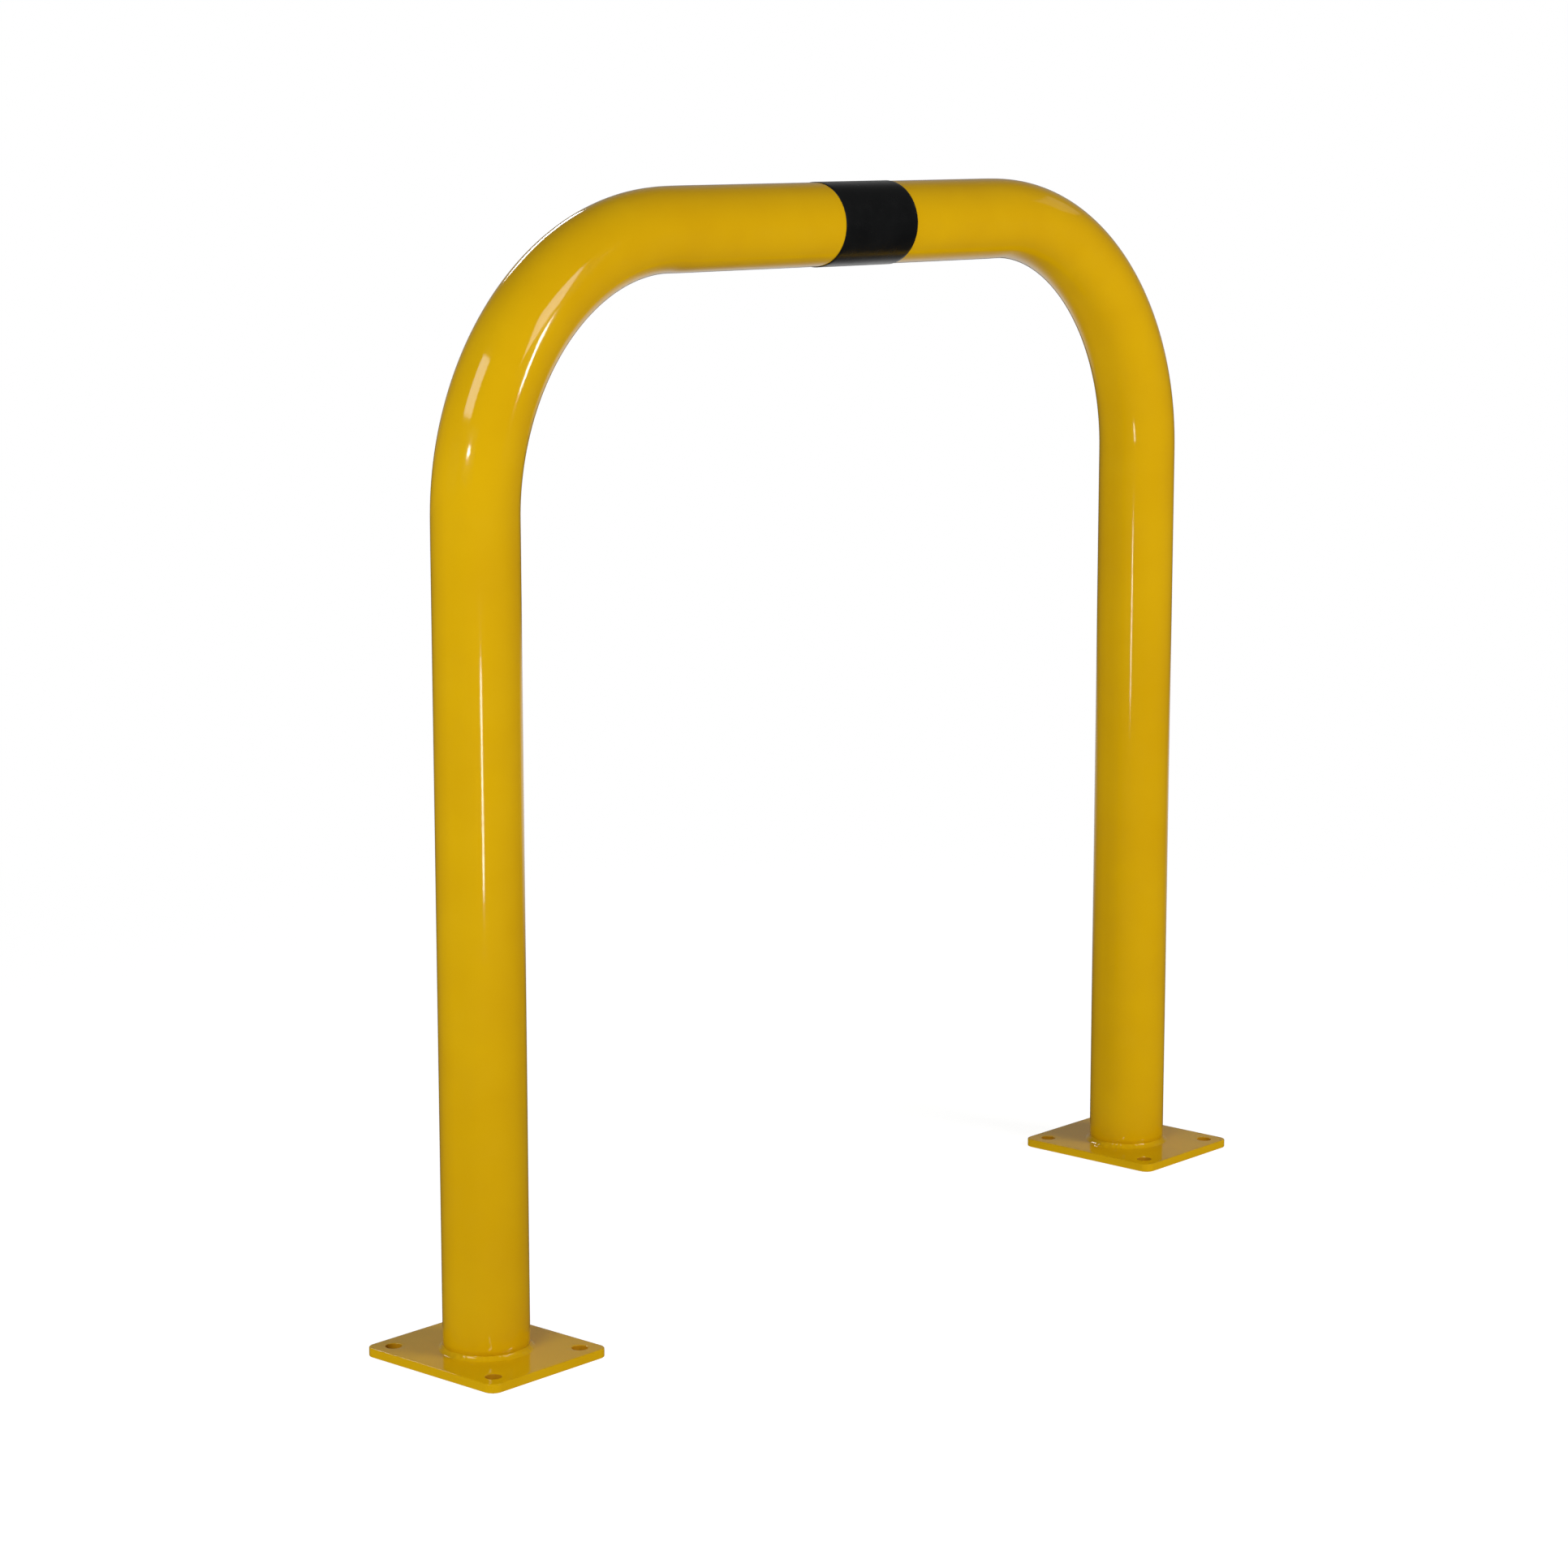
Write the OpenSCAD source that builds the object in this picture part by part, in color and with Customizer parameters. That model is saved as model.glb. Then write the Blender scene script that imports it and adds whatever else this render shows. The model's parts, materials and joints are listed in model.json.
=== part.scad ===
// Steel hoop guard: a freestanding safety barrier made of one bent tube on two base plates.
// Origin: floor level, midway between the legs.  +X runs along the hoop, +Z is up.

/* [Hoop] */
// Width over the outside of the two legs
overall_w = 1000; // [800:10:1500]
// Height from the floor to the top of the crossbar
overall_h = 1000; // [600:10:1400]
// Outside diameter of the tube
tube_d = 76; // [60:1:102]
// Wall thickness of the tube
tube_wall = 3; // [2:0.5:5]
// Bend radius, measured to the centreline of the tube
bend_r = 235; // [120:5:290]

/* [Base plates] */
// Size of a base plate along the hoop
plate_l = 140; // [110:1:220]
// Size of a base plate across the hoop
plate_w = 160; // [120:1:240]
// Thickness of a base plate
plate_t = 8; // [5:0.5:15]
// Corner radius of a base plate
plate_corner_r = 10; // [4:1:25]
// Diameter of a floor anchor hole
hole_d = 14; // [9:0.5:16]
// Distance from the plate's edges to the centre of an anchor hole
hole_inset = 18; // [14:1:24]

/* [Welds] */
// Leg length of the fillet weld round each foot
weld_leg = 5; // [3:0.5:8]

/* [Marking band] */
// Width of the black band round the crossbar
band_w = 100; // [50:5:150]
// Thickness of the band's film
band_t = 0.5; // [0.2:0.1:1]
// Distance from the middle of the crossbar to the middle of the band
band_shift = 18; // [-50:1:50]

/* [Hidden] */
$fn = 96;
coat_yellow = [0.84, 0.65, 0.03];
weld_yellow = [0.80, 0.62, 0.04];
film_black = [0.06, 0.06, 0.065];

tube_r = tube_d / 2;
leg_x = overall_w / 2 - tube_r;        // from the middle to the axis of a leg
bar_z = overall_h - tube_r;            // height of the crossbar's axis
bend_x = leg_x - bend_r;               // centre of a bend, from the middle
bend_z = bar_z - bend_r;               // centre of a bend, above the floor
through = 1;                           // how far a drill runs past each face

// Cross-section of the tube
module tube_section() {
    difference() {
        circle(r = tube_r);
        circle(r = tube_r - tube_wall);
    }
}

// Straight stretch of tube of the given length, from the origin up
module straight_tube(length) {
    linear_extrude(height = length) tube_section();
}

// Quarter bend that takes the +X leg into the crossbar, about the centre of the bend
module bend() {
    rotate([90, 0, 0])
        rotate_extrude(angle = 90) translate([bend_r, 0]) tube_section();
}

// One leg and its bend, on the +X side
module half_hoop() {
    translate([leg_x, 0, plate_t]) straight_tube(bend_z - plate_t);
    translate([bend_x, 0, bend_z]) bend();
}

// The whole hoop: two legs, two bends and the crossbar, bent from one tube
module hoop_tube() {
    color(coat_yellow) {
        half_hoop();
        mirror([1, 0, 0]) half_hoop();
        translate([-bend_x, 0, bar_z]) rotate([0, 90, 0]) straight_tube(2 * bend_x);
    }
}

// Outline of a base plate: a rectangle with round corners
module plate_outline() {
    corner_x = plate_l / 2 - plate_corner_r;
    corner_y = plate_w / 2 - plate_corner_r;
    square([plate_l, 2 * corner_y], center = true);
    square([2 * corner_x, plate_w], center = true);
    for (sx = [-1, 1], sy = [-1, 1])
        translate([sx * corner_x, sy * corner_y]) circle(r = plate_corner_r);
}

// A base plate with its four anchor holes, centred on the leg
module base_plate() {
    hole_x = plate_l / 2 - hole_inset;
    hole_y = plate_w / 2 - hole_inset;
    difference() {
        linear_extrude(height = plate_t) plate_outline();
        for (sx = [-1, 1], sy = [-1, 1])
            translate([sx * hole_x, sy * hole_y, -through])
                cylinder(d = hole_d, h = plate_t + 2 * through);
    }
}

// The fillet weld that joins the foot of a leg to its plate
module foot_weld() {
    rotate_extrude()
        polygon([
            [tube_r, plate_t],
            [tube_r + weld_leg, plate_t],
            [tube_r, plate_t + weld_leg],
        ]);
}

module left_base_plate() { color(coat_yellow) translate([-leg_x, 0, 0]) base_plate(); }

module right_base_plate() { color(coat_yellow) translate([leg_x, 0, 0]) base_plate(); }

module left_foot_weld() { color(weld_yellow) translate([-leg_x, 0, 0]) foot_weld(); }

module right_foot_weld() { color(weld_yellow) translate([leg_x, 0, 0]) foot_weld(); }

// The black film wrapped round the crossbar
module marking_band() {
    color(film_black)
        translate([band_shift - band_w / 2, 0, bar_z]) rotate([0, 90, 0])
            linear_extrude(height = band_w)
                difference() {
                    circle(r = tube_r + band_t);
                    circle(r = tube_r);
                }
}

hoop_tube();
left_base_plate();
right_base_plate();
left_foot_weld();
right_foot_weld();
marking_band();
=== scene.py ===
"""Looks of the steel hoop guard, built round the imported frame.

The guard is one bent tube, welded to two base plates and finished in a glossy yellow powder coat,
with a black film wrapped round its crossbar.  Every visible piece is a surface worked out with
numpy in the frame's own metres; sizes come from the frame and from the dataclass fields below.
"""

import json
import logging
import math
from dataclasses import dataclass, field
from enum import Enum

import bmesh
import bpy
import numpy as np
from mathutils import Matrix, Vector


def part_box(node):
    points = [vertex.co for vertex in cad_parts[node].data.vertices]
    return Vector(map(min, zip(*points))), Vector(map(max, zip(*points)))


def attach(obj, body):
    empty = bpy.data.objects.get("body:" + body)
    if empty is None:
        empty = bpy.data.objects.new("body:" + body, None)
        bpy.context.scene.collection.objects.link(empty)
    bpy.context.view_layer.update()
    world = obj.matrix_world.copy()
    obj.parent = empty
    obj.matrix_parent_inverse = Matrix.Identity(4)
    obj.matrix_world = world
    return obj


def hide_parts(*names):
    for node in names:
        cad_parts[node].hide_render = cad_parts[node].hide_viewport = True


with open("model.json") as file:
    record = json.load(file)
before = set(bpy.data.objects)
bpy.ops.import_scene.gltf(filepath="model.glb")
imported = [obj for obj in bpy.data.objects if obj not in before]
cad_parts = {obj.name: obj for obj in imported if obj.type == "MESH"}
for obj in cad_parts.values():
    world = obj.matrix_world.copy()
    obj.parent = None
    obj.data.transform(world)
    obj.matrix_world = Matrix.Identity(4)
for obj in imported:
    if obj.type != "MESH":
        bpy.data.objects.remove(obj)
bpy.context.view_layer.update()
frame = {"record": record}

LOG = logging.getLogger("hoop_guard")
MM = 0.001
TURN = 2.0 * math.pi


class Side(Enum):
    """Which leg of the hoop a foot belongs to, as the frame's node names say it."""

    LEFT = "left"
    RIGHT = "right"


class Slot(Enum):
    """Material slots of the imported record."""

    COAT = "yellow_coat"
    FILM = "black_film"


WELD_SEEDS = {Side.LEFT: 3, Side.RIGHT: 11}


# ---------------------------------------------------------------------------------------------
# Mesh helpers
# ---------------------------------------------------------------------------------------------


def smoothstep(x: np.ndarray) -> np.ndarray:
    """Eases from 0 to 1 with level ends: 3 x squared minus 2 x cubed.

    Args:
        x: Any values; they are held between 0 and 1 first.

    Returns:
        The eased values, of the same shape.
    """
    t = np.clip(x, 0.0, 1.0)
    return t * t * (3.0 - 2.0 * t)


def waves(angle: np.ndarray, orders: range, seed: int) -> np.ndarray:
    """A smooth wobble round a circle: a sum of cosines with random phases, between about -1 and 1.

    Args:
        angle: Angles in radians.
        orders: How many waves each cosine makes in one turn.
        seed: Seed of the phases and strengths.

    Returns:
        The wobble at each angle.
    """
    rng = np.random.default_rng(seed)
    order = np.array(list(orders), float)
    phase = rng.uniform(0.0, TURN, len(order))
    strength = rng.uniform(0.4, 1.0, len(order))
    strength /= np.sqrt((strength**2).sum())
    return (strength * np.cos(np.asarray(angle)[..., None] * order + phase)).sum(-1)


@dataclass
class Surface:
    """A mesh in the making: grids of points, each laid as quads, that are joined in one object."""

    points: list[np.ndarray] = field(default_factory=list)
    quads: list[np.ndarray] = field(default_factory=list)
    caps: list[list[int]] = field(default_factory=list)

    def add_grid(self, grid: np.ndarray, wrap_rows: bool = False, wrap_cols: bool = False,
                 flip: bool = False) -> int:
        """Adds a grid of points as quads: each face takes a point, the next column and the next row.

        Args:
            grid: Points of shape (rows, columns, 3), in metres.
            wrap_rows: Joins the last row to the first.
            wrap_cols: Joins the last column to the first.
            flip: Turns the faces over.

        Returns:
            The index of the grid's first point in the whole mesh.
        """
        rows, cols = grid.shape[:2]
        start = sum(len(p) for p in self.points)
        index = start + np.arange(rows * cols).reshape(rows, cols)
        if wrap_rows:
            index = np.vstack([index, index[:1]])
        if wrap_cols:
            index = np.hstack([index, index[:, :1]])
        corners = [index[:-1, :-1], index[:-1, 1:], index[1:, 1:], index[1:, :-1]]
        faces = np.stack(corners, axis=-1).reshape(-1, 4)
        self.points.append(grid.reshape(-1, 3))
        self.quads.append(faces[:, ::-1] if flip else faces)
        return start

    def add_cap(self, indices: np.ndarray) -> None:
        """Closes a ring of points with one flat face.

        Args:
            indices: Point indices in the order of the face's corners.
        """
        self.caps.append([int(i) for i in indices])

    def build(self, name: str, merge: float = 0.0) -> bpy.types.Object:
        """Makes the object, with smooth faces and its place in its mesh.

        Args:
            name: The piece's name.
            merge: Points nearer than this become one; 0 leaves them alone.

        Returns:
            The new object, linked to the scene.
        """
        mesh = bpy.data.meshes.new(name)
        faces = np.concatenate(self.quads).tolist() + self.caps
        mesh.from_pydata(np.concatenate(self.points).tolist(), [], faces)
        if merge > 0.0:
            work = bmesh.new()
            work.from_mesh(mesh)
            bmesh.ops.remove_doubles(work, verts=work.verts, dist=merge)
            work.to_mesh(mesh)
            work.free()
        mesh.polygons.foreach_set("use_smooth", np.ones(len(mesh.polygons), bool))
        mesh.update()
        piece = bpy.data.objects.new(name, mesh)
        bpy.context.scene.collection.objects.link(piece)
        return piece


def quarter_round(radius: float, steps: int) -> tuple[np.ndarray, np.ndarray]:
    """A quarter circle that leaves a flat face and turns down: out = r sin a, down = r (1 - cos a).

    Args:
        radius: Radius of the arris.
        steps: Number of steps over the quarter turn.

    Returns:
        The distances out and down, from 0 to the radius.
    """
    angle = np.linspace(0.0, math.pi / 2.0, steps + 1)
    return radius * np.sin(angle), radius * (1.0 - np.cos(angle))


# ---------------------------------------------------------------------------------------------
# Finishes
# ---------------------------------------------------------------------------------------------


Colour = tuple | bpy.types.NodeSocket
Amount = float | bpy.types.NodeSocket
# point number that marks where the plates' bolt holes get painted shade
PAINTED_HOLE_SHADE = "painted_hole_shade"
NOISE_SPAN = (0.3, 0.7)


@dataclass
class NodeTree:
    """A material's node tree with short calls for the nodes that the finishes use."""

    material: bpy.types.Material

    def __post_init__(self) -> None:
        """Clears the tree and puts in a Principled shader, its output and object coordinates."""
        self.material.use_nodes = True
        self.tree = self.material.node_tree
        self.tree.nodes.clear()
        self.shader = self.node("ShaderNodeBsdfPrincipled")
        output = self.node("ShaderNodeOutputMaterial")
        self.link(self.shader.outputs["BSDF"], output.inputs["Surface"])
        self.coordinates = self.node("ShaderNodeTexCoord").outputs["Object"]

    def node(self, kind: str) -> bpy.types.Node:
        """Adds a node of the given type."""
        return self.tree.nodes.new(kind)

    def link(self, source: bpy.types.NodeSocket, target: bpy.types.NodeSocket) -> None:
        """Joins two sockets."""
        self.tree.links.new(source, target)

    def set_shader(self, **values: object) -> None:
        """Sets constants on the shader's own sockets.

        Args:
            **values: Socket names, with underscores for spaces, and their values.
        """
        for name, value in values.items():
            self.shader.inputs[name.replace("_", " ")].default_value = value

    def attribute(self, name: str) -> bpy.types.NodeSocket:
        """Reads a number that a mesh carries on its points.

        Args:
            name: The attribute's name.

        Returns:
            The number's socket, which gives 0 on a mesh without the attribute.
        """
        node = self.node("ShaderNodeAttribute")
        node.attribute_name = name
        return node.outputs["Fac"]

    def noise(self, cell: float, detail: float = 2.0) -> bpy.types.NodeSocket:
        """Noise on object coordinates.

        Args:
            cell: Size of the noise's grains, in metres.
            detail: How many finer layers it has.

        Returns:
            The noise's value socket, about 0.3 to 0.7 with its middle at 0.5.
        """
        noise = self.node("ShaderNodeTexNoise")
        noise.inputs["Scale"].default_value = 1.0 / cell
        noise.inputs["Detail"].default_value = detail
        self.link(self.coordinates, noise.inputs["Vector"])
        return noise.outputs["Fac"]

    def remap(self, value: bpy.types.NodeSocket, low: float, high: float,
              to_low: float, to_high: float) -> bpy.types.NodeSocket:
        """Maps a value from one range to another, held at the ends.

        Args:
            value: The socket to map.
            low: Low end of the input range.
            high: High end of the input range.
            to_low: Result at the low end.
            to_high: Result at the high end.

        Returns:
            The mapped socket.
        """
        node = self.node("ShaderNodeMapRange")
        ends = {"From Min": low, "From Max": high, "To Min": to_low, "To Max": to_high}
        for name, end in ends.items():
            node.inputs[name].default_value = end
        self.link(value, node.inputs["Value"])
        return node.outputs["Result"]

    def blend(self, factor: bpy.types.NodeSocket, first: Colour, second: Colour) -> bpy.types.NodeSocket:
        """Blends two colours.

        Args:
            factor: 0 gives the first colour and 1 the second.
            first: Linear red, green and blue, or another colour's socket.
            second: The same, for the second colour.

        Returns:
            The blended colour's socket.
        """
        node = self.node("ShaderNodeMix")
        node.data_type = "RGBA"
        for name, colour in (("A", first), ("B", second)):
            socket = next(s for s in node.inputs if s.name == name and s.type == "RGBA")
            if isinstance(colour, tuple):
                socket.default_value = (*colour, 1.0)
            else:
                self.link(colour, socket)
        self.link(factor, node.inputs["Factor"])
        return next(s for s in node.outputs if s.type == "RGBA")

    def bump(self, height: bpy.types.NodeSocket, depth: float,
             below: bpy.types.NodeSocket | None = None) -> bpy.types.NodeSocket:
        """Bumps the surface.

        Args:
            height: The height, from 0 to 1.
            depth: Metres between heights 0 and 1.
            below: Another bump's normal to build on.

        Returns:
            The bumped normal's socket.
        """
        node = self.node("ShaderNodeBump")
        node.inputs["Distance"].default_value = depth
        self.link(height, node.inputs["Height"])
        if below is not None:
            self.link(below, node.inputs["Normal"])
        return node.outputs["Normal"]


@dataclass(frozen=True)
class PowderCoat:
    """Glossy powder coat with orange peel: a smooth, thick paint baked on steel."""

    name: str = "yellow_powder_coat"
    colour: tuple = (0.745, 0.425, 0.0018)
    deep_colour: tuple = (0.700, 0.385, 0.0012)
    # painted shade for the bolt holes: a darker, browner coat colour
    hole_shade_colour: tuple = (0.590, 0.262, 0.0070)
    gloss_low: float = 0.055
    gloss_high: float = 0.10
    ior: float = 1.46
    tone_cell: float = 90.0 * MM
    gloss_cell: float = 22.0 * MM
    peel_cell: float = 2.6 * MM
    peel_depth: float = 0.012 * MM
    swell_cell: float = 40.0 * MM
    swell_depth: float = 0.05 * MM

    def material(self) -> bpy.types.Material:
        """Makes the material: a slow change of tone, painted shade in the bolt holes, and two sizes of
        peel.

        Returns:
            The material, for every coated piece.
        """
        nodes = NodeTree(bpy.data.materials.new(self.name))
        tone = nodes.remap(nodes.noise(self.tone_cell, detail=3.0), *NOISE_SPAN, 0.0, 1.0)
        full = nodes.blend(tone, self.colour, self.deep_colour)
        # the bolt holes get painted shade, blended in by the plate's point number
        colour = nodes.blend(nodes.attribute(PAINTED_HOLE_SHADE), full, self.hole_shade_colour)
        nodes.link(colour, nodes.shader.inputs["Base Color"])
        patches = nodes.noise(self.gloss_cell, detail=4.0)
        gloss = nodes.remap(patches, *NOISE_SPAN, self.gloss_low, self.gloss_high)
        nodes.link(gloss, nodes.shader.inputs["Roughness"])
        swell = nodes.bump(nodes.noise(self.swell_cell, detail=1.0), self.swell_depth)
        peel = nodes.bump(nodes.noise(self.peel_cell, detail=1.5), self.peel_depth, swell)
        nodes.link(peel, nodes.shader.inputs["Normal"])
        nodes.set_shader(IOR=self.ior)
        return nodes.material


@dataclass(frozen=True)
class MarkingFilm:
    """Glossy black self-adhesive film, drawn tight over the coat's peel."""

    name: str = "black_marking_film"
    colour: tuple = (0.0045, 0.0048, 0.0052)
    worn_colour: tuple = (0.0085, 0.0088, 0.0090)
    gloss_low: float = 0.20
    gloss_high: float = 0.28
    ior: float = 1.48
    bloom_cell: float = 30.0 * MM
    bloom_span: tuple = (0.35, 0.75)
    gloss_cell: float = 12.0 * MM
    peel_cell: float = 3.4 * MM
    peel_depth: float = 0.012 * MM

    def material(self) -> bpy.types.Material:
        """Makes the material: black with a faint bloom, uneven gloss and a soft peel.

        Returns:
            The material, for the band.
        """
        nodes = NodeTree(bpy.data.materials.new(self.name))
        bloom = nodes.remap(nodes.noise(self.bloom_cell, detail=4.0), *self.bloom_span, 0.0, 1.0)
        nodes.link(nodes.blend(bloom, self.colour, self.worn_colour), nodes.shader.inputs["Base Color"])
        patches = nodes.noise(self.gloss_cell, detail=3.0)
        gloss = nodes.remap(patches, *NOISE_SPAN, self.gloss_low, self.gloss_high)
        nodes.link(gloss, nodes.shader.inputs["Roughness"])
        peel = nodes.bump(nodes.noise(self.peel_cell, detail=1.5), self.peel_depth)
        nodes.link(peel, nodes.shader.inputs["Normal"])
        nodes.set_shader(IOR=self.ior)
        return nodes.material


def dress(piece: bpy.types.Object, material: bpy.types.Material, slot: Slot, *nodes: str) -> None:
    """Gives a piece its material and its ride, and hides the CAD nodes it stands for.

    Args:
        piece: The finished piece.
        material: Its material.
        slot: The record's slot for its finish; not used.
        *nodes: The CAD nodes that it replaces.
    """
    piece.data.materials.append(material)
    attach(piece, "root")
    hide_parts(*nodes)
    LOG.info("%s: %d faces, for %s", piece.name, len(piece.data.polygons), ", ".join(nodes))


# ---------------------------------------------------------------------------------------------
# The guard
# ---------------------------------------------------------------------------------------------


@dataclass
class BentHoop:
    """The tube: two legs, two quarter bends and the crossbar, as one closed shell with its wall."""

    bend_r: float = 235.0 * MM
    wall: float = 3.0 * MM
    columns: int = 88
    straight_step: float = 9.0 * MM
    inner_straight_step: float = 54.0 * MM
    bend_steps: int = 60
    inner_bend_steps: int = 20
    ovality: float = 0.010

    def __post_init__(self) -> None:
        """Reads the tube's radius, the legs' place and the crossbar's height from the frame."""
        low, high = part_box("hoop_tube")
        self.tube_r = (high.y - low.y) / 2.0
        self.foot_z = low.z
        self.leg_x = high.x - self.tube_r
        self.bar_z = high.z - self.tube_r
        self.leg_length = self.bar_z - self.bend_r - self.foot_z
        self.bend_length = self.bend_r * math.pi / 2.0
        self.bar_length = 2.0 * (self.leg_x - self.bend_r)

    def stations(self, bend_steps: int, straight_step: float) -> np.ndarray:
        """Distances along the centreline at which the tube has a ring, from foot to foot.

        Args:
            bend_steps: Steps over each bend.
            straight_step: Longest step on a straight stretch.

        Returns:
            Increasing distances, in metres.
        """
        lengths = [self.leg_length, self.bend_length, self.bar_length, self.bend_length, self.leg_length]
        parts, start = [np.zeros(1)], 0.0
        for number, length in enumerate(lengths):
            steps = bend_steps if number % 2 else max(2, math.ceil(length / straight_step))
            parts.append(start + length * np.arange(1, steps + 1) / steps)
            start += length
        return np.concatenate(parts)

    def centreline(self, s: np.ndarray) -> tuple[np.ndarray, np.ndarray]:
        """The centreline and the outward normal in the hoop's plane, at distances along the tube.

        The path climbs the left leg, turns a quarter circle about each bend's centre and goes down
        the right leg.  With a the angle turned so far, the outward normal is (-cos a, 0, sin a).

        Args:
            s: Distances from the left foot, in metres.

        Returns:
            Points and unit normals, each of shape (n, 3).
        """
        climb = np.clip(s, 0.0, self.leg_length)
        first = np.clip(s - self.leg_length, 0.0, self.bend_length) / self.bend_r
        along = np.clip(s - self.leg_length - self.bend_length, 0.0, self.bar_length)
        past_bar = self.leg_length + self.bend_length + self.bar_length
        second = np.clip(s - past_bar, 0.0, self.bend_length) / self.bend_r
        drop = np.clip(s - past_bar - self.bend_length, 0.0, self.leg_length)
        x = -self.leg_x + self.bend_r * (1.0 - np.cos(first)) + along + self.bend_r * np.sin(second)
        z = self.foot_z + climb + self.bend_r * np.sin(first) - self.bend_r * (1.0 - np.cos(second)) - drop
        turned = first + second
        points = np.stack([x, np.zeros_like(x), z], axis=-1)
        normals = np.stack([-np.cos(turned), np.zeros_like(x), np.sin(turned)], axis=-1)
        return points, normals

    def bend_share(self, s: np.ndarray) -> np.ndarray:
        """How far into a bend each distance lies: 0 on the straights, rising to 1 in the bends.

        Args:
            s: Distances from the left foot, in metres.

        Returns:
            Shares between 0 and 1, eased over a tube's radius at each end of a bend.
        """
        total = 2.0 * (self.leg_length + self.bend_length) + self.bar_length
        from_foot = np.minimum(s, total - s)
        into = from_foot - self.leg_length
        ease = self.tube_r
        return smoothstep(into / ease + 0.5) * smoothstep((self.bend_length - into) / ease + 0.5)

    def shell(self, s: np.ndarray, radius: float) -> np.ndarray:
        """One wall of the tube: circles about the centreline, pressed slightly oval in the bends.

        A point is the centre plus r (1 - e) cos v along the in-plane normal and r (1 + e / 2) sin v
        across the hoop, where e is the ovality times the share of the bend.

        Args:
            s: Distances from the left foot, in metres.
            radius: Radius of this wall.

        Returns:
            Points of shape (rings, columns, 3).
        """
        centre, normal = self.centreline(s)
        press = self.ovality * self.bend_share(s)[:, None, None]
        v = np.linspace(0.0, TURN, self.columns, endpoint=False)[None, :, None]
        across = np.array([0.0, 1.0, 0.0])
        in_plane = radius * (1.0 - press) * np.cos(v) * normal[:, None, :]
        return centre[:, None, :] + in_plane + radius * (1.0 + press / 2.0) * np.sin(v) * across

    def build(self, coat: bpy.types.Material) -> bpy.types.Object:
        """Makes the tube: the outer wall from foot to foot, then the bore back to the start.

        Args:
            coat: The powder coat.

        Returns:
            The finished piece.
        """
        outer = self.shell(self.stations(self.bend_steps, self.straight_step), self.tube_r)
        bore_stations = self.stations(self.inner_bend_steps, self.inner_straight_step)[::-1]
        bore = self.shell(bore_stations, self.tube_r - self.wall)
        surface = Surface()
        surface.add_grid(np.concatenate([outer, bore]), wrap_rows=True, wrap_cols=True, flip=True)
        piece = surface.build("bent_hoop")
        dress(piece, coat, Slot.COAT, "hoop_tube")
        return piece


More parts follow.
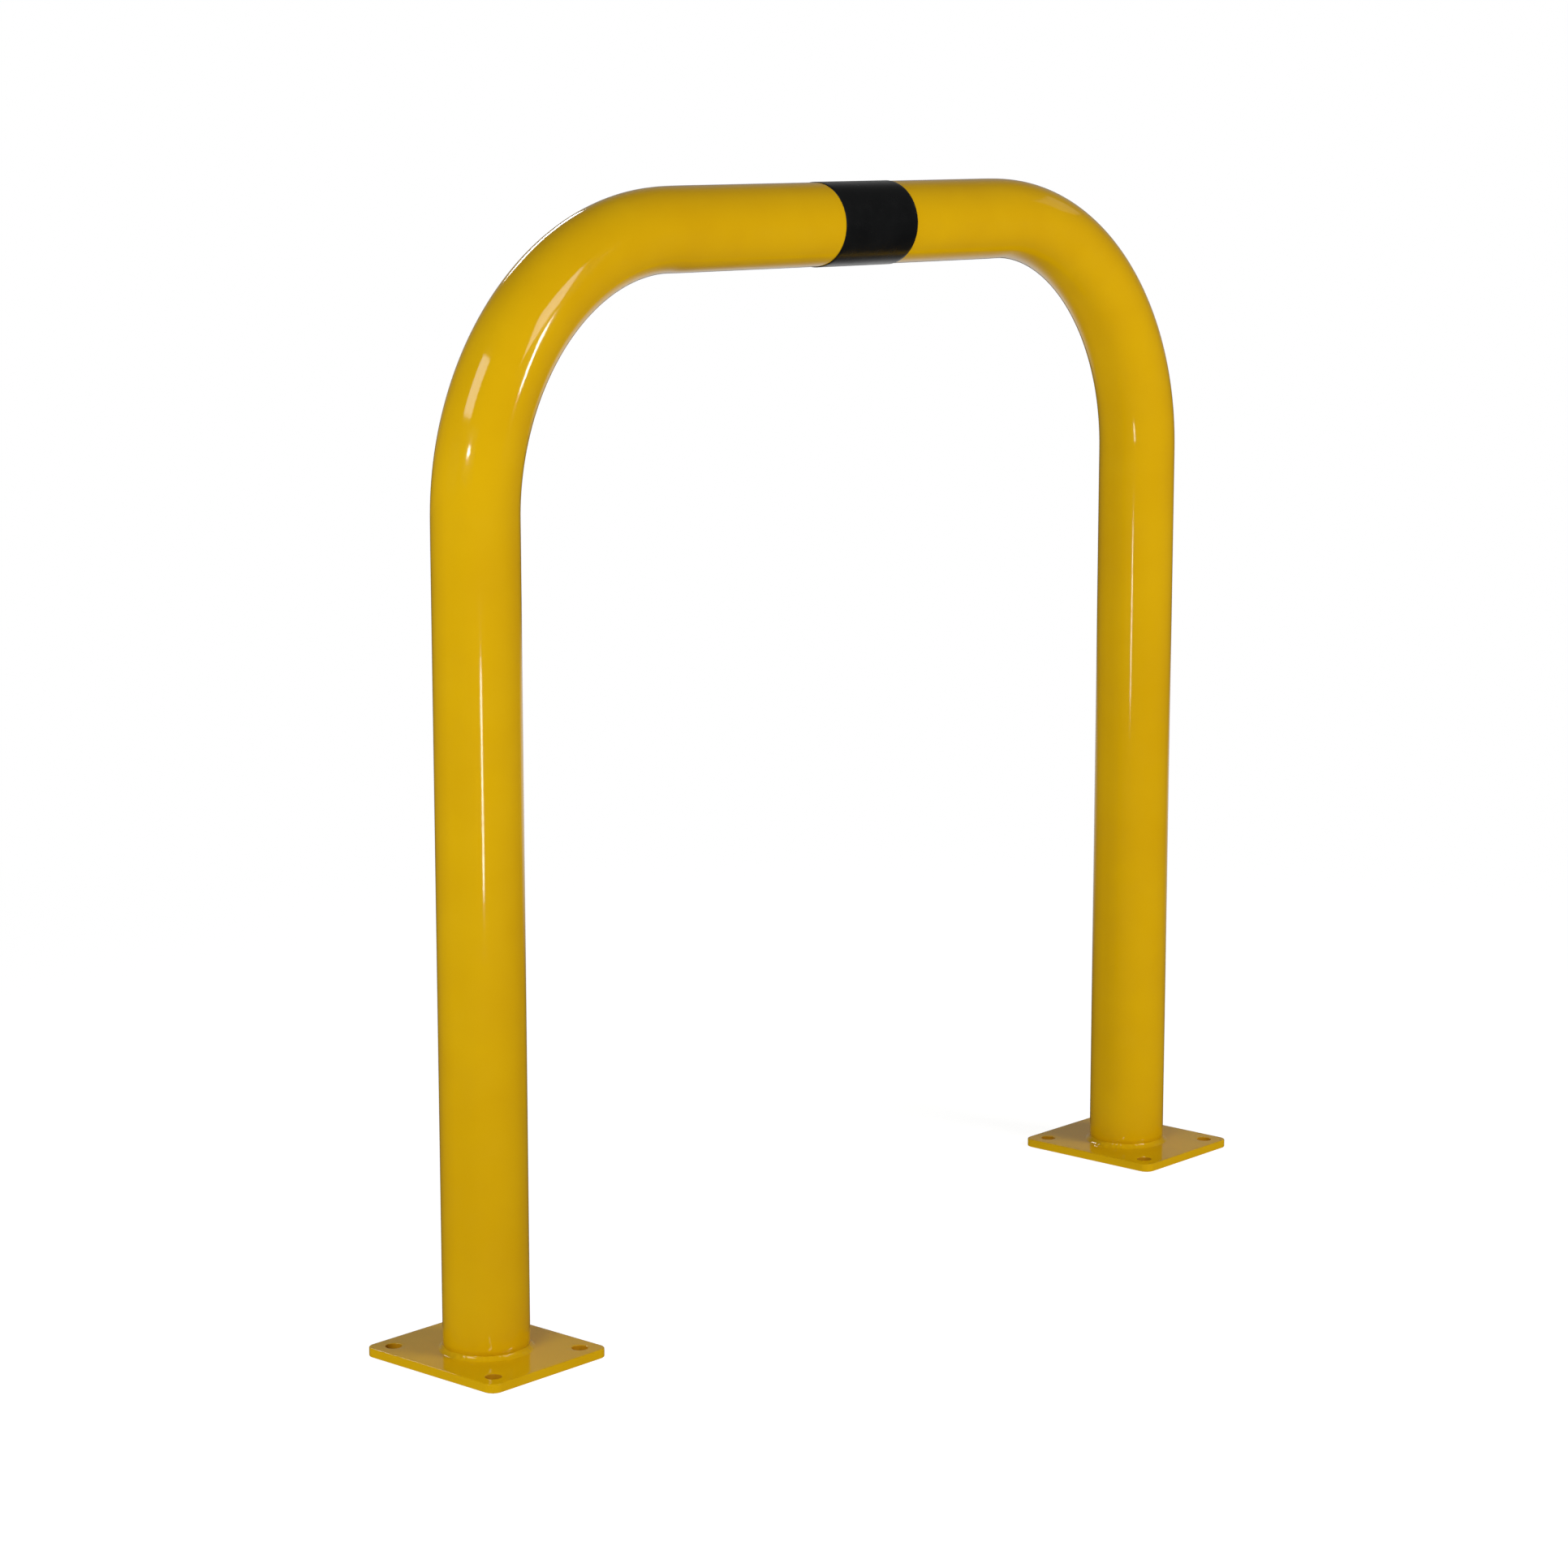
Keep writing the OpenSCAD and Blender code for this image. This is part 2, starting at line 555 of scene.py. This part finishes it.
@dataclass
class BasePlate:
    """A foot plate: round corners, softened arrises and four anchor holes through it."""

    side: Side
    corner_r: float = 10.0 * MM
    arris: float = 0.9 * MM
    hole_arris: float = 0.7 * MM
    # width over which the bolt holes' painted shade fades out round each hole
    hole_shade_edge: float = 0.42 * MM
    arris_steps: int = 5
    wall_steps: int = 3
    face_steps: int = 7
    face_crowding: float = 0.8
    corner_steps: int = 12
    ray_count: int = 120
    least_ray_gap: float = 0.35
    merge_gap: float = 0.002 * MM

    def __post_init__(self) -> None:
        """Reads the plate's box from the frame and its holes from the record's bolt pattern."""
        low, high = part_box(f"{self.side.value}_base_plate")
        self.low_z, self.high_z = low.z, high.z
        self.centre_x = (low.x + high.x) / 2.0
        self.half = np.array([(high.x - low.x) / 2.0, (high.y - low.y) / 2.0])
        mounts = {mount["name"]: mount for mount in frame["record"]["mounts"]}
        dims = mounts[f"{self.side.value}_anchor_holes"]["dims"]
        self.hole = np.array([dims["spacing_x_mm"], dims["spacing_y_mm"]]) * MM / 2.0
        self.hole_r = dims["hole_r_mm"] * MM

    def rays(self) -> np.ndarray:
        """Angles of the rays that leave a hole, with one to each corner of its quarter of the plate.

        Returns:
            Increasing angles in radians, over one turn.
        """
        flat = self.half - self.arris
        joints = np.array([[0.0, 0.0], [flat[0], 0.0], [0.0, flat[1]]])
        bend = flat - (self.corner_r - self.arris)
        arc = np.linspace(0.0, math.pi / 2.0, self.corner_steps + 1)
        corner = bend + (self.corner_r - self.arris) * np.stack([np.cos(arc), np.sin(arc)], axis=-1)
        targets = np.concatenate([joints, corner]) - self.hole
        exact = np.arctan2(targets[:, 1], targets[:, 0]) % TURN
        even = np.linspace(0.0, TURN, self.ray_count, endpoint=False)
        apart = np.abs((even[:, None] - exact[None, :] + math.pi) % TURN - math.pi).min(axis=1)
        return np.sort(np.concatenate([exact, even[apart > self.least_ray_gap * TURN / self.ray_count]]))

    def quarter_edge(self, angle: np.ndarray) -> tuple[np.ndarray, np.ndarray]:
        """Where each ray from the hole meets the edge of the flat face of its quarter of the plate.

        The quarter runs from the plate's middle to its outline, less the arris.  A ray ends at the
        nearest of its four sides, or on the corner's circle when it passes the corner's centre.

        Args:
            angle: Angles of the rays.

        Returns:
            The points, and the outline's outward normals there, zero on the two inner sides.
        """
        flat = self.half - self.arris
        ray = np.stack([np.cos(angle), np.sin(angle)], axis=-1)
        safe = np.where(np.abs(ray) < 1e-12, 1e-12, ray)
        reach = np.where(safe > 0.0, flat - self.hole, -self.hole) / safe
        nearest = reach.argmin(axis=1)
        point = self.hole + reach.min(axis=1)[:, None] * ray
        normal = np.zeros_like(point)
        outer = np.take_along_axis(safe, nearest[:, None], axis=1)[:, 0] > 0.0
        normal[np.arange(len(angle))[outer], nearest[outer]] = 1.0
        radius = self.corner_r - self.arris
        bend = flat - radius
        beyond = (point > bend + 1e-9).all(axis=1)
        offset = self.hole - bend
        along = (ray * offset).sum(axis=1)
        root = np.sqrt(np.maximum(along**2 - (offset**2).sum() + radius**2, 0.0))
        on_arc = self.hole + (root - along)[:, None] * ray
        point[beyond] = on_arc[beyond]
        normal[beyond] = (on_arc[beyond] - bend) / radius
        return point, normal

    def face_and_hole(self, angle: np.ndarray) -> np.ndarray:
        """A quarter's top face, hole and underside as one sleeve of rings round the hole.

        Rings shrink from the quarter's edge to the hole's arris by straight interpolation, turn
        down through the hole along its rounded arrises, and spread again on the underside.

        Args:
            angle: Angles of the rays from the hole.

        Returns:
            Points of shape (rings, rays, 3) about the plate's own middle.
        """
        edge, _ = self.quarter_edge(angle)
        ray = np.stack([np.cos(angle), np.sin(angle)], axis=-1)
        inward, down = quarter_round(self.hole_arris, self.arris_steps)
        share = np.linspace(0.0, 1.0, self.face_steps + 1)[:-1] ** self.face_crowding
        lip = self.hole + (self.hole_r + self.hole_arris) * ray
        face = edge[None] * (1.0 - share[:, None, None]) + lip[None] * share[:, None, None]
        lips = self.hole + (self.hole_r + self.hole_arris - inward)[:, None, None] * ray[None]
        drop = np.linspace(self.high_z - self.hole_arris, self.low_z + self.hole_arris, self.wall_steps + 1)
        wall = np.repeat((self.hole + self.hole_r * ray)[None], self.wall_steps - 1, axis=0)
        plan = np.concatenate([face, lips, wall, lips[::-1], face[::-1]])
        height = np.concatenate([
            np.full(len(face), self.high_z), self.high_z - down, drop[1:-1],
            self.low_z + down[::-1], np.full(len(face), self.low_z),
        ])
        tall = np.broadcast_to(height[:, None, None], (*plan.shape[:2], 1))
        return np.concatenate([plan, tall], axis=-1)

    def rim(self, angle: np.ndarray) -> np.ndarray:
        """The plate's outer edge over one quarter: an arris, a straight wall and another arris.

        Each station on the outline carries the same profile outwards along the outline's normal.

        Args:
            angle: Angles of the rays from the hole.

        Returns:
            Points of shape (profile, stations, 3) about the plate's own middle.
        """
        edge, normal = self.quarter_edge(angle)
        outer = (normal**2).sum(axis=1) > 0.5
        flat = self.half - self.arris
        joints = np.array([[flat[0], 0.0], [0.0, flat[1]]])
        edge = np.concatenate([edge[outer], joints])
        normal = np.concatenate([normal[outer], np.eye(2)])
        order = np.argsort(np.arctan2(edge[:, 1], edge[:, 0]))
        edge, normal = edge[order], normal[order]
        keep = np.concatenate([[True], np.linalg.norm(np.diff(edge, axis=0), axis=1) > 1e-7])
        edge, normal = edge[keep], normal[keep]
        out, down = quarter_round(self.arris, self.arris_steps)
        middle = np.linspace(self.high_z - self.arris, self.low_z + self.arris, self.wall_steps + 1)[1:-1]
        reach = np.concatenate([out, np.full(len(middle), self.arris), out[::-1]])
        height = np.concatenate([self.high_z - down, middle, self.low_z + down[::-1]])
        plan = edge[None] + reach[:, None, None] * normal[None]
        tall = np.broadcast_to(height[:, None, None], (*plan.shape[:2], 1))
        return np.concatenate([plan, tall], axis=-1)

    def paint_hole_shade(self, mesh: bpy.types.Mesh) -> None:
        """Marks where shade is painted on the plate: fully on the holes' walls, fading out round each
        hole's lip.

        Args:
            mesh: The plate's mesh, which gets the mark as a number on each point.
        """
        point = np.empty(3 * len(mesh.vertices))
        mesh.vertices.foreach_get("co", point)
        plan = point.reshape(-1, 3)[:, :2] - np.array([self.centre_x, 0.0])
        away = np.linalg.norm(np.abs(plan) - self.hole, axis=1)
        # painted shade: full on each hole's wall, fading out round its lip
        shade_share = 1.0 - smoothstep((away - self.hole_r) / self.hole_shade_edge)
        mesh.attributes.new(PAINTED_HOLE_SHADE, "FLOAT", "POINT").data.foreach_set("value", shade_share)

    def build(self, coat: bpy.types.Material) -> bpy.types.Object:
        """Makes the plate: four mirrored quarters, with their shared points merged.

        Args:
            coat: The powder coat.

        Returns:
            The finished piece.
        """
        angle = self.rays()
        quarter, rim = self.face_and_hole(angle), self.rim(angle)
        surface = Surface()
        for sign_x in (-1.0, 1.0):
            for sign_y in (-1.0, 1.0):
                sign = np.array([sign_x, sign_y, 1.0])
                place = np.array([self.centre_x, 0.0, 0.0])
                mirrored = sign_x * sign_y < 0.0
                surface.add_grid(quarter * sign + place, wrap_cols=True, flip=mirrored)
                surface.add_grid(rim * sign + place, flip=not mirrored)
        piece = surface.build(f"{self.side.value}_plate", merge=self.merge_gap)
        self.paint_hole_shade(piece.data)
        dress(piece, coat, Slot.COAT, f"{self.side.value}_base_plate")
        return piece


@dataclass
class FootWeld:
    """The fillet weld round a foot: a rippled bead that the coat has run over."""

    side: Side
    seed: int
    columns: int = 720
    rows: int = 22
    toe: float = -0.8 * MM
    sink: float = 0.4 * MM
    slump: float = 0.69
    crown: float = 0.10 * MM
    wander: float = 0.05
    leg_waves: range = range(2, 14)
    ripple_count: int = 39
    pitch_wander: float = 1.1
    pitch_waves: range = range(3, 17)
    ripple_depth: float = 0.24 * MM
    ripple_bow: float = 1.1
    depth_mean: float = 0.70
    depth_spread: float = 0.45
    depth_waves: range = range(2, 11)

    def __post_init__(self) -> None:
        """Reads the bead's place and leg length from the frame."""
        low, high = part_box(f"{self.side.value}_foot_weld")
        tube_low, tube_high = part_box("hoop_tube")
        self.tube_r = (tube_high.y - tube_low.y) / 2.0
        self.plate_z = low.z
        self.leg = high.z - low.z
        self.centre_x = (low.x + high.x) / 2.0

    def bead(self) -> np.ndarray:
        """The bead's face: a fillet profile carried round the tube.

        With t from 0 at the plate to a quarter turn at the tube, and p the slump, the profile stands
        out Lx cos(t)^(2/p) and rises Lz sin(t)^(2/p), which meets both surfaces smoothly, and swells
        by a crown.  The legs wander a little with the angle.  Ripples are soft waves whose crests
        bow towards the start of the weld, as frozen weld pools do, with the coat rounding them off.

        Returns:
            Points of shape (rows, columns, 3).
        """
        around = np.linspace(0.0, TURN, self.columns, endpoint=False)[None, :]
        t = np.linspace(0.0, math.pi / 2.0, self.rows)[:, None]
        leg = self.leg + self.toe
        reach_x = leg * (1.0 + self.wander * waves(around, self.leg_waves, self.seed))
        reach_z = leg * (1.0 + self.wander * waves(around, self.leg_waves, self.seed + 1))
        power = 2.0 / self.slump
        middle = np.sin(2.0 * t) ** 2
        uneven_pitch = self.pitch_wander * waves(around, self.pitch_waves, self.seed + 2)
        phase = self.ripple_count * around + uneven_pitch
        scallop = smoothstep(0.5 + 0.5 * np.cos(phase + self.ripple_bow * np.cos(2.0 * t) ** 2))
        uneven = self.depth_mean + self.depth_spread * waves(around, self.depth_waves, self.seed + 3)
        swell = middle * (self.crown + self.ripple_depth * uneven * (scallop - 0.5))
        out = reach_x * np.abs(np.cos(t)) ** power + swell * math.sqrt(0.5)
        up = reach_z * np.abs(np.sin(t)) ** power + swell * math.sqrt(0.5)
        radius = self.tube_r + out
        x = self.centre_x + radius * np.cos(around)
        return np.stack([x, radius * np.sin(around), self.plate_z + up], axis=-1)

    def build(self, coat: bpy.types.Material) -> bpy.types.Object:
        """Makes the bead, closed by a root that is buried a little in the tube and the plate.

        Args:
            coat: The powder coat.

        Returns:
            The finished piece.
        """
        face = self.bead()
        around = np.linspace(0.0, TURN, self.columns, endpoint=False)
        direction = np.stack([np.cos(around), np.sin(around), np.zeros_like(around)], axis=-1)
        axis = np.array([self.centre_x, 0.0, 0.0])
        under_plate = face[0] - np.array([0.0, 0.0, self.sink])
        in_tube = axis + (self.tube_r - self.sink) * direction
        root = in_tube + np.array([0.0, 0.0, self.plate_z - self.sink])
        top = in_tube + np.array([0.0, 0.0, 1.0]) * face[-1][:, 2:3]
        rings = np.concatenate([face, top[None], root[None], under_plate[None]])
        surface = Surface()
        surface.add_grid(rings, wrap_rows=True, wrap_cols=True)
        piece = surface.build(f"{self.side.value}_weld_bead")
        dress(piece, coat, Slot.COAT, f"{self.side.value}_foot_weld")
        return piece


@dataclass
class MarkingBand:
    """Black film wound once round the crossbar, with its end lapped over its start at the back."""

    start_angle: float = math.radians(-38.0)
    lap: float = math.radians(14.0)
    lift: float = math.radians(5.0)
    edge_r: float = 0.22 * MM
    edge_steps: int = 4
    across_steps: int = 24
    step: float = math.radians(2.0)
    sink: float = 0.02 * MM

    def __post_init__(self) -> None:
        """Reads the band's place, width and thickness from the frame."""
        low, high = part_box("marking_band")
        tube_low, tube_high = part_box("hoop_tube")
        self.tube_r = (tube_high.y - tube_low.y) / 2.0
        self.film = (high.y - low.y) / 2.0 - self.tube_r
        self.low_x, self.high_x = low.x, high.x
        self.axis_z = (low.z + high.z) / 2.0

    def profile(self) -> tuple[np.ndarray, np.ndarray]:
        """The film's cross-section along the bar: a thin strip with round upper edges.

        Returns:
            Places along X and heights above the tube, going round the strip once.
        """
        out, down = quarter_round(self.edge_r, self.edge_steps)
        flat = np.linspace(self.low_x + self.edge_r, self.high_x - self.edge_r, self.across_steps + 1)
        left = self.low_x + self.edge_r - out[::-1]
        right = self.high_x - self.edge_r + out
        along = np.concatenate([left, flat[1:-1], right, [self.high_x], flat[::-1][1:-1], [self.low_x]])
        level = np.full(self.across_steps - 1, self.film)
        top = np.concatenate([self.film - down[::-1], level, self.film - down])
        base = np.zeros(len(along) - len(top))
        return along, np.concatenate([top, base])

    def build(self, film: bpy.types.Material) -> bpy.types.Object:
        """Makes the band: the strip's profile carried round the tube by one turn and the lap.

        The strip lies on the tube, sunk a hair, then climbs its own start by the film's thickness.

        Args:
            film: The marking film.

        Returns:
            The finished piece.
        """
        along, height = self.profile()
        angle = np.arange(0.0, TURN + self.lap + self.step / 2.0, self.step)
        climb = self.film * smoothstep((angle - (TURN - self.lift)) / self.lift)
        radius = self.tube_r - self.sink + climb[:, None] + height[None, :]
        turn = (self.start_angle + angle)[:, None]
        x = np.broadcast_to(along[None, :], radius.shape)
        rings = np.stack([x, radius * np.cos(turn), self.axis_z + radius * np.sin(turn)], axis=-1)
        surface = Surface()
        first = surface.add_grid(rings, wrap_cols=True, flip=True)
        count = len(along)
        surface.add_cap(first + np.arange(count))
        surface.add_cap(first + (len(angle) - 1) * count + np.arange(count)[::-1])
        piece = surface.build("marking_film")
        dress(piece, film, Slot.FILM, "marking_band")
        return piece


# ---------------------------------------------------------------------------------------------
# The studio
# ---------------------------------------------------------------------------------------------


class Role(Enum):
    """What a studio light does: shades the paint evenly, or is mirrored in the gloss."""

    SHADES = "shades"
    MIRRORED = "mirrored"


@dataclass(frozen=True)
class Softbox:
    """A rectangular studio light, aimed at a point and never seen directly."""

    name: str
    role: Role
    place: tuple
    target: tuple
    width: float
    height: float
    power: float
    shade: tuple = (1.0, 1.0, 1.0)

    def build(self) -> bpy.types.Object:
        """Makes the light, with its height upright, for the rays that its role covers.

        Returns:
            The light's object.
        """
        lamp = bpy.data.lights.new(self.name, "AREA")
        lamp.shape = "RECTANGLE"
        lamp.size, lamp.size_y = self.width, self.height
        lamp.energy = self.power
        lamp.color = self.shade
        light = bpy.data.objects.new(self.name, lamp)
        light.location = self.place
        aim = Vector(self.target) - Vector(self.place)
        light.rotation_euler = aim.to_track_quat("-Z", "Y").to_euler()
        light.visible_camera = False
        light.visible_diffuse = self.role is Role.SHADES
        light.visible_glossy = self.role is Role.MIRRORED
        bpy.context.scene.collection.objects.link(light)
        return light


def eased_range(tree: bpy.types.NodeTree, value: bpy.types.NodeSocket, low: float, high: float,
                at_low: float, at_high: float) -> bpy.types.NodeSocket:
    """Eases a value from one level to another between two ends.

    Args:
        tree: The node tree to work in.
        value: The value that decides.
        low: Where the easing starts.
        high: Where the easing ends.
        at_low: The level up to its start.
        at_high: The level past its end.

    Returns:
        The eased value's socket.
    """
    node = tree.nodes.new("ShaderNodeMapRange")
    node.interpolation_type = "SMOOTHSTEP"
    ends = {"From Min": low, "From Max": high, "To Min": at_low, "To Max": at_high}
    for name, end in ends.items():
        node.inputs[name].default_value = end
    tree.links.new(value, node.inputs["Value"])
    return node.outputs["Result"]


def times_plus(tree: bpy.types.NodeTree, first: Amount, second: Amount,
               added: Amount = 0.0) -> bpy.types.NodeSocket:
    """Works out first times second plus added.

    Args:
        tree: The node tree to work in.
        first: A number, or another node's socket.
        second: The same.
        added: The same.

    Returns:
        The result's socket.
    """
    node = tree.nodes.new("ShaderNodeMath")
    node.operation = "MULTIPLY_ADD"
    for socket, amount in zip(node.inputs, (first, second, added)):
        if isinstance(amount, float):
            socket.default_value = amount
        else:
            tree.links.new(amount, socket)
    return node.outputs["Value"]


@dataclass(frozen=True)
class Glow:
    """How bright a part of the stage is to each kind of ray.

    The camera sees it white all over.  The gloss mirrors one pale patch in a dim room, so that the
    paint keeps its depth of colour where nothing pale faces it.
    """

    lighting: float
    mirrored_dim: float
    mirrored_pale: float
    inner: float
    outer: float
    seen: float = 1.0

    def strength(self, tree: bpy.types.NodeTree, place: bpy.types.NodeSocket,
                 centre: tuple) -> bpy.types.NodeSocket:
        """Adds up the brightnesses, each times the test for its own kind of ray.

        Args:
            tree: The node tree that the sum goes into.
            place: Where the point lies, or the way to it.
            centre: The middle of the pale patch.

        Returns:
            The socket of the sum.
        """
        away = tree.nodes.new("ShaderNodeVectorMath")
        away.operation = "DISTANCE"
        away.inputs[1].default_value = centre
        tree.links.new(place, away.inputs[0])
        ends = (self.inner, self.outer, self.mirrored_pale, self.mirrored_dim)
        mirrored = eased_range(tree, away.outputs["Value"], *ends)
        rays = tree.nodes.new("ShaderNodeLightPath").outputs
        seen = times_plus(tree, rays["Is Camera Ray"], self.seen)
        lighting = times_plus(tree, rays["Is Diffuse Ray"], self.lighting, seen)
        return times_plus(tree, rays["Is Glossy Ray"], mirrored, lighting)


@dataclass
class Studio:
    """Floor, soft lights, pale surroundings and the camera."""

    floor_half: float = 60.0
    floor_drop: float = 0.05 * MM
    floor_glow: Glow = Glow(lighting=0.72, mirrored_dim=0.04, mirrored_pale=0.70, inner=0.8, outer=2.0)
    room_glow: Glow = Glow(lighting=0.10, mirrored_dim=0.05, mirrored_pale=0.26, inner=0.25, outer=0.78)
    patch_centre: tuple = (2.4, 1.6, 0.0)
    shadow_tone: float = 0.36
    shadow_depth: float = 0.13
    shadow_near: float = 0.7
    shadow_far: float = 2.2
    shade_inset: float = 3.0 * MM
    shade_drop: float = 0.02 * MM
    # colour of the painted shade sheets under the base plates
    painted_shade_colour: tuple = (0.05, 0.04, 0.03)
    guard_middle: tuple = (0.0, 0.0, 0.6)
    camera_place: tuple = (-2.710, -2.346, 1.070)
    camera_heading: float = math.radians(41.67)
    camera_dip: float = math.radians(9.92)
    lens: float = 89.3
    sensor: float = 36.0
    view_depth: float = 240.0

    def __post_init__(self) -> None:
        """Works out the level direction in which the camera looks."""
        self.heading = (math.cos(self.camera_heading), math.sin(self.camera_heading), 0.0)

    def sheet(self, name: str, low: tuple, high: tuple, z: float) -> bpy.types.Object:
        """Makes a level rectangle of the stage, facing up.

        Args:
            name: The sheet's name.
            low: Lowest X and Y.
            high: Highest X and Y.
            z: Height of the sheet.

        Returns:
            The sheet, with an empty node material.
        """
        x, y = np.meshgrid([low[0], high[0]], [low[1], high[1]])
        surface = Surface()
        surface.add_grid(np.stack([x, y, np.full_like(x, z)], axis=-1))
        sheet = surface.build(name)
        material = bpy.data.materials.new(name)
        material.use_nodes = True
        material.node_tree.nodes.clear()
        sheet.data.materials.append(material)
        return sheet

    def floor(self) -> None:
        """Makes the plain pale floor: a glow that gives way to lit, matt paper round the guard.

        The glow fades by the shadow's depth near the middle, and the matt paper there is lit back
        up to white except where the guard keeps the light off.
        """
        corners = (-self.floor_half, -self.floor_half), (self.floor_half, self.floor_half)
        sheet = self.sheet("studio_floor", *corners, -self.floor_drop)
        tree = sheet.active_material.node_tree
        place = tree.nodes.new("ShaderNodeTexCoord").outputs["Object"]
        away = tree.nodes.new("ShaderNodeVectorMath")
        away.operation = "LENGTH"
        tree.links.new(place, away.inputs[0])
        near = eased_range(tree, away.outputs["Value"], self.shadow_near, self.shadow_far, 1.0, 0.0)
        rays = tree.nodes.new("ShaderNodeLightPath").outputs
        seen_near = times_plus(tree, rays["Is Camera Ray"], near)
        matt = tree.nodes.new("ShaderNodeBsdfDiffuse")
        glow = tree.nodes.new("ShaderNodeEmission")
        both = tree.nodes.new("ShaderNodeAddShader")
        output = tree.nodes.new("ShaderNodeOutputMaterial")
        strength = self.floor_glow.strength(tree, place, self.patch_centre)
        faded = times_plus(tree, seen_near, -self.shadow_depth, strength)
        tree.links.new(times_plus(tree, seen_near, self.shadow_tone), matt.inputs["Color"])
        tree.links.new(faded, glow.inputs["Strength"])
        tree.links.new(matt.outputs["BSDF"], both.inputs[0])
        tree.links.new(glow.outputs["Emission"], both.inputs[1])
        tree.links.new(both.outputs["Shader"], output.inputs["Surface"])

    def paint_plate_shade(self) -> None:
        """Lays a dark sheet as painted shade on the floor under each base plate, where no light comes; it
        shows through the bolt holes.
        """
        for side in Side:
            low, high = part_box(f"{side.value}_base_plate")
            inset = self.shade_inset
            corners = (low.x + inset, low.y + inset), (high.x - inset, high.y - inset)
            sheet = self.sheet(f"{side.value}_plate_shade", *corners, -self.shade_drop)
            tree = sheet.active_material.node_tree
            matt = tree.nodes.new("ShaderNodeBsdfDiffuse")
            matt.inputs["Color"].default_value = (*self.painted_shade_colour, 1.0)
            output = tree.nodes.new("ShaderNodeOutputMaterial")
            tree.links.new(matt.outputs["BSDF"], output.inputs["Surface"])

    def lights(self) -> list[bpy.types.Object]:
        """Makes the broad lights that shade the paint and the smaller ones that the gloss mirrors.

        Returns:
            The lights' objects.
        """
        shades, mirrored = Role.SHADES, Role.MIRRORED
        boxes = [
            Softbox("left_bank", shades, (-2.90, -0.78, 1.5), self.guard_middle, 1.4, 0.8, 40.5,
                    shade=(0.97, 1.05, 1.0)),
            Softbox("far_left_bank", shades, (-2.82, 1.03, 1.3), self.guard_middle, 1.4, 0.8, 8.0),
            Softbox("front_bank", shades, (0.78, -2.90, 2.0), self.guard_middle, 1.4, 0.9, 54.0),
            Softbox("low_right_bank", shades, (2.60, -1.50, 0.45), self.guard_middle, 1.4, 0.8, 2.0),
            Softbox("rear_bank", shades, (2.30, 1.93, 2.6), self.guard_middle, 1.4, 0.8, 15.0),
            Softbox("left_softbox", mirrored, (-2.84, 0.33, 2.68), (-0.47, 0.0, 0.84), 1.2, 1.1, 22.0),
            Softbox("left_spot", mirrored, (-2.88, -0.70, 1.53), (-0.49, 0.0, 0.79), 0.30, 0.12, 5.0),
            Softbox("front_softbox", mirrored, (0.18, -2.60, 2.22), (-0.40, 0.0, 0.90), 1.0, 0.75, 11.0),
            Softbox("front_strip", mirrored, (0.63, -2.59, 1.32), (-0.43, 0.0, 0.86), 0.20, 0.48, 12.0),
            Softbox("rim_softbox", mirrored, (1.00, 2.44, 2.00), (-0.37, 0.0, 0.96), 0.78, 0.34, 9.0),
            Softbox("right_softbox", mirrored, (2.99, -0.42, 2.23), (0.29, 0.0, 0.97), 1.2, 0.5, 0.5),
            Softbox("low_strip", mirrored, (-1.04, -0.82, 0.347), (0.0, 0.2, 0.6), 0.07, 0.25, 0.95),
        ]
        return [box.build() for box in boxes]

    def surroundings(self) -> None:
        """Sets a plain room round the stage, pale to the camera and dimmer to the paint."""
        world = bpy.data.worlds.new("studio")
        bpy.context.scene.world = world
        world.use_nodes = True
        tree = world.node_tree
        tree.nodes.clear()
        room = tree.nodes.new("ShaderNodeBackground")
        room.inputs["Color"].default_value = (1.0, 1.0, 1.0, 1.0)
        output = tree.nodes.new("ShaderNodeOutputWorld")
        way = tree.nodes.new("ShaderNodeTexCoord").outputs["Generated"]
        tree.links.new(self.room_glow.strength(tree, way, self.heading), room.inputs["Strength"])
        tree.links.new(room.outputs["Background"], output.inputs["Surface"])

    def camera(self) -> bpy.types.Object:
        """Makes the camera: it looks along its heading and dips towards the floor.

        Returns:
            The camera's object.
        """
        data = bpy.data.cameras.new("studio_camera")
        data.lens, data.sensor_width = self.lens, self.sensor
        data.clip_end = self.view_depth
        camera = bpy.data.objects.new("studio_camera", data)
        level, drop = math.cos(self.camera_dip), math.sin(self.camera_dip)
        look = level * Vector(self.heading) - drop * Vector((0.0, 0.0, 1.0))
        camera.location = self.camera_place
        camera.rotation_euler = look.to_track_quat("-Z", "Y").to_euler()
        bpy.context.scene.collection.objects.link(camera)
        bpy.context.scene.camera = camera
        return camera

    def build(self) -> None:
        """Sets up the whole studio, with plain colours that aren't toned down for display."""
        self.camera()
        self.floor()
        self.paint_plate_shade()
        self.lights()
        self.surroundings()
        bpy.context.scene.view_settings.view_transform = "Standard"


def main() -> None:
    """Builds the studio and the guard, piece by piece."""
    logging.basicConfig(level=logging.INFO, format="%(name)s: %(message)s")
    Studio().build()
    coat = PowderCoat().material()
    film = MarkingFilm().material()
    BentHoop().build(coat)
    for side in Side:
        BasePlate(side).build(coat)
        FootWeld(side, WELD_SEEDS[side]).build(coat)
    MarkingBand().build(film)


if __name__ == "__main__":
    main()
